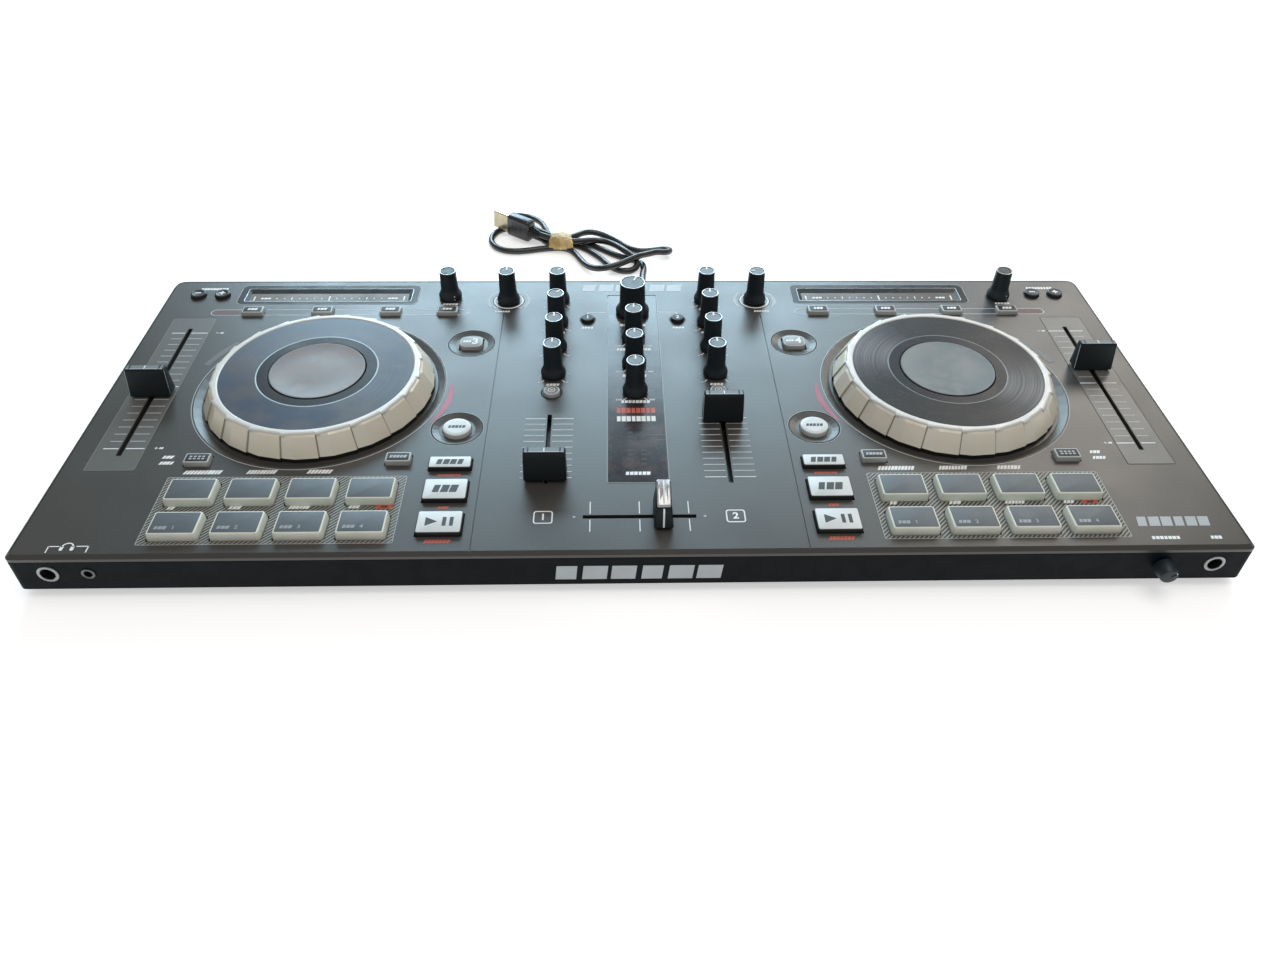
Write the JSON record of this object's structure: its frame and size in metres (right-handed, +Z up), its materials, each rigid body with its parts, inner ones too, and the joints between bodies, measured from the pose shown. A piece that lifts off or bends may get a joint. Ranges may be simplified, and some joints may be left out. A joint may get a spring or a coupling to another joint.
{
  "type": "dj controller",
  "caption": "Two-deck DJ controller: jog wheels, faders, mixer knobs, rubber pads and press keys on a flat case, with its tied USB lead lying behind it.",
  "frame": {"origin": "under the middle of the case, on the surface that the feet stand on", "axes": "+X to the player's right along the case, +Y away from the player, +Z up"},
  "size_m": [0.545, 0.372, 0.0452],
  "materials": {
    "panel_grey": "satin, finely speckled, with printed marks",
    "case_black": "fine moulded grain",
    "circuit_green": "solder mask",
    "foot_rubber": "matte",
    "display_glass": "clear gloss cover",
    "cable_black": "glossy vinyl",
    "jog_silver": "warm silver paint",
    "fader_black": "satin",
    "knob_black": "soft-touch",
    "pad_silicone": "translucent silicone",
    "key_silver": "brushed silver-white",
    "key_frosted": "frosted translucent",
    "key_black": "satin"
  },
  "bodies": {
    "root": {"top_case": "panel_grey", "bottom_case": "case_black", "circuit_board": "circuit_green", "foot_front_left": "foot_rubber", "foot_front_right": "foot_rubber", "foot_rear_left": "foot_rubber", "foot_rear_right": "foot_rubber", "jog_display_left": "display_glass", "jog_display_right": "display_glass", "usb_cable_hank": "cable_black", "usb_plug_a": "cable_black", "usb_plug_b": "cable_black"},
    "jog_wheel_left": {"jog_wheel_left": "jog_silver"},
    "jog_wheel_right": {"jog_wheel_right": "jog_silver"},
    "pitch_fader_left": {"pitch_fader_left": "fader_black"},
    "pitch_fader_right": {"pitch_fader_right": "fader_black"},
    "channel_fader_left": {"channel_fader_left": "fader_black"},
    "channel_fader_right": {"channel_fader_right": "fader_black"},
    "crossfader": {"crossfader": "fader_black"},
    "browse_knob": {"browse_knob": "knob_black"},
    "mic_gain_knob": {"mic_gain_knob": "knob_black"},
    "pad_mat_left": {"pad_mat_left": "pad_silicone"},
    "pad_mat_right": {"pad_mat_right": "pad_silicone"},
    "play_button_left": {"play_button_left": "key_silver"},
    "play_button_right": {"play_button_right": "key_silver"},
    "master_gain_knob": {"master_gain_knob": "knob_black"},
    "level_knob_left": {"level_knob_left": "knob_black"},
    "level_knob_right": {"level_knob_right": "knob_black"},
    "filter_knob_left": {"filter_knob_left": "knob_black"},
    "filter_knob_right": {"filter_knob_right": "knob_black"},
    "beats_knob_left": {"beats_knob_left": "knob_black"},
    "beats_knob_right": {"beats_knob_right": "knob_black"},
    "fx_keys_left": {"fx_keys_left": "key_frosted"},
    "fx_keys_right": {"fx_keys_right": "key_frosted"},
    "shift_button_left": {"shift_button_left": "key_silver"},
    "shift_button_right": {"shift_button_right": "key_silver"},
    "cue_button_left": {"cue_button_left": "key_silver"},
    "cue_button_right": {"cue_button_right": "key_silver"},
    "sync_button_left": {"sync_button_left": "key_silver"},
    "sync_button_right": {"sync_button_right": "key_silver"},
    "treble_knob_left": {"treble_knob_left": "knob_black"},
    "treble_knob_right": {"treble_knob_right": "knob_black"},
    "mid_knob_left": {"mid_knob_left": "knob_black"},
    "mid_knob_right": {"mid_knob_right": "knob_black"},
    "bass_knob_left": {"bass_knob_left": "knob_black"},
    "bass_knob_right": {"bass_knob_right": "knob_black"},
    "cue_mix_knob": {"cue_mix_knob": "knob_black"},
    "cue_gain_knob": {"cue_gain_knob": "knob_black"},
    "deck_button_left": {"deck_button_left": "key_frosted"},
    "deck_button_right": {"deck_button_right": "key_frosted"},
    "pfl_button_left": {"pfl_button_left": "key_frosted"},
    "pfl_button_right": {"pfl_button_right": "key_frosted"},
    "load_button_left": {"load_button_left": "key_frosted"},
    "load_button_right": {"load_button_right": "key_frosted"},
    "wheel_button_left": {"wheel_button_left": "key_frosted"},
    "wheel_button_right": {"wheel_button_right": "key_frosted"},
    "pad_mode_button_left": {"pad_mode_button_left": "key_frosted"},
    "pad_mode_button_right": {"pad_mode_button_right": "key_frosted"},
    "pitch_bend_keys_left": {"pitch_bend_keys_left": "key_black"},
    "pitch_bend_keys_right": {"pitch_bend_keys_right": "key_black"}
  },
  "joints": [
    {"name": "jog_wheel_left_turn", "type": "hinge", "parent": "root", "child": "jog_wheel_left", "pos_m": [-0.1626, 0.005, 0.0252], "axis": [0, 0, 1], "continuous": true},
    {"name": "jog_wheel_right_turn", "type": "hinge", "parent": "root", "child": "jog_wheel_right", "pos_m": [0.1626, 0.005, 0.0252], "axis": [0, 0, 1], "continuous": true},
    {"name": "pitch_fader_left_slide", "type": "slide", "parent": "root", "child": "pitch_fader_left", "axis": [0, 1, 0], "range_m": [-0.0443, 0.0557]},
    {"name": "pitch_fader_right_slide", "type": "slide", "parent": "root", "child": "pitch_fader_right", "axis": [0, 1, 0], "range_m": [-0.0648, 0.0352]},
    {"name": "channel_fader_left_slide", "type": "slide", "parent": "root", "child": "channel_fader_left", "axis": [0, 1, 0], "range_m": [-0.001, 0.044]},
    {"name": "channel_fader_right_slide", "type": "slide", "parent": "root", "child": "channel_fader_right", "axis": [0, 1, 0], "range_m": [-0.0445, 0.0005]},
    {"name": "crossfader_slide", "type": "slide", "parent": "root", "child": "crossfader", "axis": [1, 0, 0], "range_m": [-0.0325, 0.0115]},
    {"name": "browse_knob_turn", "type": "hinge", "parent": "root", "child": "browse_knob", "pos_m": [0, 0.078, 0.0252], "axis": [0, 0, 1], "continuous": true},
    {"name": "mic_gain_knob_turn", "type": "hinge", "parent": "root", "child": "mic_gain_knob", "pos_m": [0.233, -0.11475, 0.0149], "axis": [0, -1, 0], "range_deg": [-105, 195]},
    {"name": "pad_mat_left_press", "type": "slide", "parent": "root", "child": "pad_mat_left", "axis": [0, 0, 1], "range_m": [-0.001, 0], "stiffness_N_per_m": 300, "springref_m": 0.0008},
    {"name": "pad_mat_right_press", "type": "slide", "parent": "root", "child": "pad_mat_right", "axis": [0, 0, 1], "range_m": [-0.001, 0], "stiffness_N_per_m": 300, "springref_m": 0.0008},
    {"name": "play_button_left_press", "type": "slide", "parent": "root", "child": "play_button_left", "axis": [0, 0, 1], "range_m": [-0.001, 0], "stiffness_N_per_m": 300, "springref_m": 0.0008},
    {"name": "play_button_right_press", "type": "slide", "parent": "root", "child": "play_button_right", "axis": [0, 0, 1], "range_m": [-0.001, 0], "stiffness_N_per_m": 300, "springref_m": 0.0008},
    {"name": "master_gain_knob_turn", "type": "hinge", "parent": "root", "child": "master_gain_knob", "pos_m": [0, 0.0506, 0.0252], "axis": [0, 0, 1], "range_deg": [-150, 150]},
    {"name": "level_knob_left_turn", "type": "hinge", "parent": "root", "child": "level_knob_left", "pos_m": [-0.0431, 0.091, 0.0252], "axis": [0, 0, 1], "range_deg": [-115, 185]},
    {"name": "level_knob_right_turn", "type": "hinge", "parent": "root", "child": "level_knob_right", "pos_m": [0.0431, 0.091, 0.0252], "axis": [0, 0, 1], "range_deg": [-150, 150]},
    {"name": "filter_knob_left_turn", "type": "hinge", "parent": "root", "child": "filter_knob_left", "pos_m": [-0.0722, 0.0906, 0.0252], "axis": [0, 0, 1], "range_deg": [-150, 150]},
    {"name": "filter_knob_right_turn", "type": "hinge", "parent": "root", "child": "filter_knob_right", "pos_m": [0.0722, 0.0906, 0.0252], "axis": [0, 0, 1], "range_deg": [-210, 90]},
    {"name": "beats_knob_left_turn", "type": "hinge", "parent": "root", "child": "beats_knob_left", "pos_m": [-0.1066, 0.0948, 0.0252], "axis": [0, 0, 1], "continuous": true},
    {"name": "beats_knob_right_turn", "type": "hinge", "parent": "root", "child": "beats_knob_right", "pos_m": [0.2186, 0.0948, 0.0252], "axis": [0, 0, 1], "continuous": true},
    {"name": "fx_keys_left_press", "type": "slide", "parent": "root", "child": "fx_keys_left", "axis": [0, 0, 1], "range_m": [-0.001, 0], "stiffness_N_per_m": 300, "springref_m": 0.0008},
    {"name": "fx_keys_right_press", "type": "slide", "parent": "root", "child": "fx_keys_right", "axis": [0, 0, 1], "range_m": [-0.001, 0], "stiffness_N_per_m": 300, "springref_m": 0.0008},
    {"name": "shift_button_left_press", "type": "slide", "parent": "root", "child": "shift_button_left", "axis": [0, 0, 1], "range_m": [-0.001, 0], "stiffness_N_per_m": 300, "springref_m": 0.0008},
    {"name": "shift_button_right_press", "type": "slide", "parent": "root", "child": "shift_button_right", "axis": [0, 0, 1], "range_m": [-0.001, 0], "stiffness_N_per_m": 300, "springref_m": 0.0008},
    {"name": "cue_button_left_press", "type": "slide", "parent": "root", "child": "cue_button_left", "axis": [0, 0, 1], "range_m": [-0.001, 0], "stiffness_N_per_m": 300, "springref_m": 0.0008},
    {"name": "cue_button_right_press", "type": "slide", "parent": "root", "child": "cue_button_right", "axis": [0, 0, 1], "range_m": [-0.001, 0], "stiffness_N_per_m": 300, "springref_m": 0.0008},
    {"name": "sync_button_left_press", "type": "slide", "parent": "root", "child": "sync_button_left", "axis": [0, 0, 1], "range_m": [-0.001, 0], "stiffness_N_per_m": 300, "springref_m": 0.0008},
    {"name": "sync_button_right_press", "type": "slide", "parent": "root", "child": "sync_button_right", "axis": [0, 0, 1], "range_m": [-0.001, 0], "stiffness_N_per_m": 300, "springref_m": 0.0008},
    {"name": "treble_knob_left_turn", "type": "hinge", "parent": "root", "child": "treble_knob_left", "pos_m": [-0.0431, 0.0664, 0.0252], "axis": [0, 0, 1], "range_deg": [-115, 185]},
    {"name": "treble_knob_right_turn", "type": "hinge", "parent": "root", "child": "treble_knob_right", "pos_m": [0.0431, 0.0664, 0.0252], "axis": [0, 0, 1], "range_deg": [-150, 150]},
    {"name": "mid_knob_left_turn", "type": "hinge", "parent": "root", "child": "mid_knob_left", "pos_m": [-0.0431, 0.0418, 0.0252], "axis": [0, 0, 1], "range_deg": [-150, 150]},
    {"name": "mid_knob_right_turn", "type": "hinge", "parent": "root", "child": "mid_knob_right", "pos_m": [0.0431, 0.0418, 0.0252], "axis": [0, 0, 1], "range_deg": [-150, 150]},
    {"name": "bass_knob_left_turn", "type": "hinge", "parent": "root", "child": "bass_knob_left", "pos_m": [-0.0431, 0.0172, 0.0252], "axis": [0, 0, 1], "range_deg": [-150, 150]},
    {"name": "bass_knob_right_turn", "type": "hinge", "parent": "root", "child": "bass_knob_right", "pos_m": [0.0431, 0.0172, 0.0252], "axis": [0, 0, 1], "range_deg": [-150, 150]},
    {"name": "cue_mix_knob_turn", "type": "hinge", "parent": "root", "child": "cue_mix_knob", "pos_m": [0, 0.0261, 0.0252], "axis": [0, 0, 1], "range_deg": [-150, 150]},
    {"name": "cue_gain_knob_turn", "type": "hinge", "parent": "root", "child": "cue_gain_knob", "pos_m": [0, 0.0014, 0.0252], "axis": [0, 0, 1], "range_deg": [-150, 150]},
    {"name": "deck_button_left_press", "type": "slide", "parent": "root", "child": "deck_button_left", "axis": [0, 0, 1], "range_m": [-0.001, 0], "stiffness_N_per_m": 300, "springref_m": 0.0008},
    {"name": "deck_button_right_press", "type": "slide", "parent": "root", "child": "deck_button_right", "axis": [0, 0, 1], "range_m": [-0.001, 0], "stiffness_N_per_m": 300, "springref_m": 0.0008},
    {"name": "pfl_button_left_press", "type": "slide", "parent": "root", "child": "pfl_button_left", "axis": [0, 0, 1], "range_m": [-0.001, 0], "stiffness_N_per_m": 300, "springref_m": 0.0008},
    {"name": "pfl_button_right_press", "type": "slide", "parent": "root", "child": "pfl_button_right", "axis": [0, 0, 1], "range_m": [-0.001, 0], "stiffness_N_per_m": 300, "springref_m": 0.0008},
    {"name": "load_button_left_press", "type": "slide", "parent": "root", "child": "load_button_left", "axis": [0, 0, 1], "range_m": [-0.001, 0], "stiffness_N_per_m": 300, "springref_m": 0.0008},
    {"name": "load_button_right_press", "type": "slide", "parent": "root", "child": "load_button_right", "axis": [0, 0, 1], "range_m": [-0.001, 0], "stiffness_N_per_m": 300, "springref_m": 0.0008},
    {"name": "wheel_button_left_press", "type": "slide", "parent": "root", "child": "wheel_button_left", "axis": [0, 0, 1], "range_m": [-0.001, 0], "stiffness_N_per_m": 300, "springref_m": 0.0008},
    {"name": "wheel_button_right_press", "type": "slide", "parent": "root", "child": "wheel_button_right", "axis": [0, 0, 1], "range_m": [-0.001, 0], "stiffness_N_per_m": 300, "springref_m": 0.0008},
    {"name": "pad_mode_button_left_press", "type": "slide", "parent": "root", "child": "pad_mode_button_left", "axis": [0, 0, 1], "range_m": [-0.001, 0], "stiffness_N_per_m": 300, "springref_m": 0.0008},
    {"name": "pad_mode_button_right_press", "type": "slide", "parent": "root", "child": "pad_mode_button_right", "axis": [0, 0, 1], "range_m": [-0.001, 0], "stiffness_N_per_m": 300, "springref_m": 0.0008},
    {"name": "pitch_bend_keys_left_press", "type": "slide", "parent": "root", "child": "pitch_bend_keys_left", "axis": [0, 0, 1], "range_m": [-0.001, 0], "stiffness_N_per_m": 300, "springref_m": 0.0008},
    {"name": "pitch_bend_keys_right_press", "type": "slide", "parent": "root", "child": "pitch_bend_keys_right", "axis": [0, 0, 1], "range_m": [-0.001, 0], "stiffness_N_per_m": 300, "springref_m": 0.0008}
  ]
}
